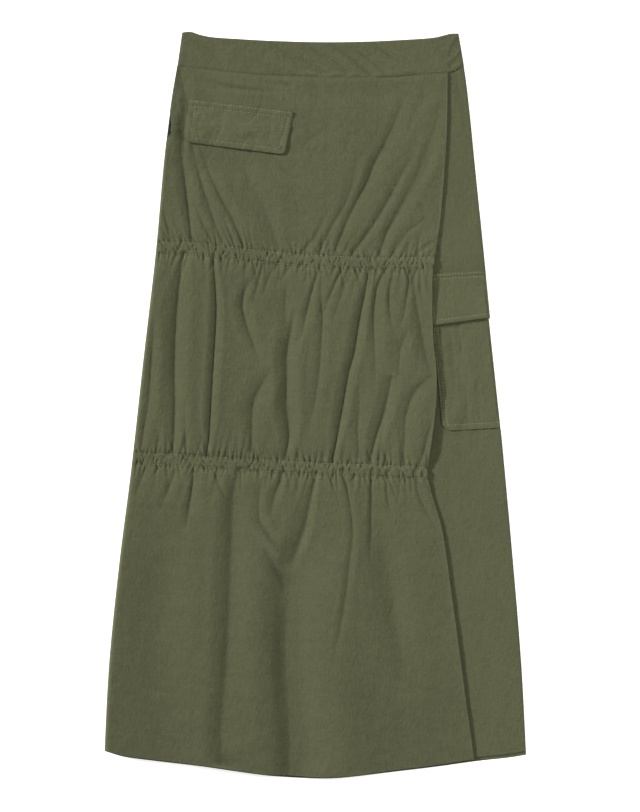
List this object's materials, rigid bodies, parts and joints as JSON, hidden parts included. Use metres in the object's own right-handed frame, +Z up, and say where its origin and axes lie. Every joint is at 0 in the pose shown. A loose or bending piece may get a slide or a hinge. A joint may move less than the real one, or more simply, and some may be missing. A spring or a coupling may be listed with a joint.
{
  "type": "cargo utility skirt",
  "caption": "Long A-line skirt laid flat: gathered wrap front panel, waistband, small hip flap, and a flapped cargo pocket round the side fold.",
  "frame": {"origin": "centre of the skirt's footprint, on the surface it lies on", "axes": "+Y towards the waist, +X to the right as seen from above, +Z up out of the front"},
  "size_m": [0.5165, 0.9114, 0.0156],
  "materials": {
    "olive_cloth": "matt olive woven cloth with a fine slub",
    "zip_tape": "black woven zip tape and coil"
  },
  "bodies": {
    "root": {"back_panel": "olive_cloth", "front_base": "olive_cloth", "front_wrap": "olive_cloth", "waistband_back": "olive_cloth", "waistband_front": "olive_cloth", "hip_flap": "olive_cloth", "cargo_pocket": "olive_cloth", "cargo_flap": "olive_cloth", "side_zip": "zip_tape"}
  },
  "joints": []
}
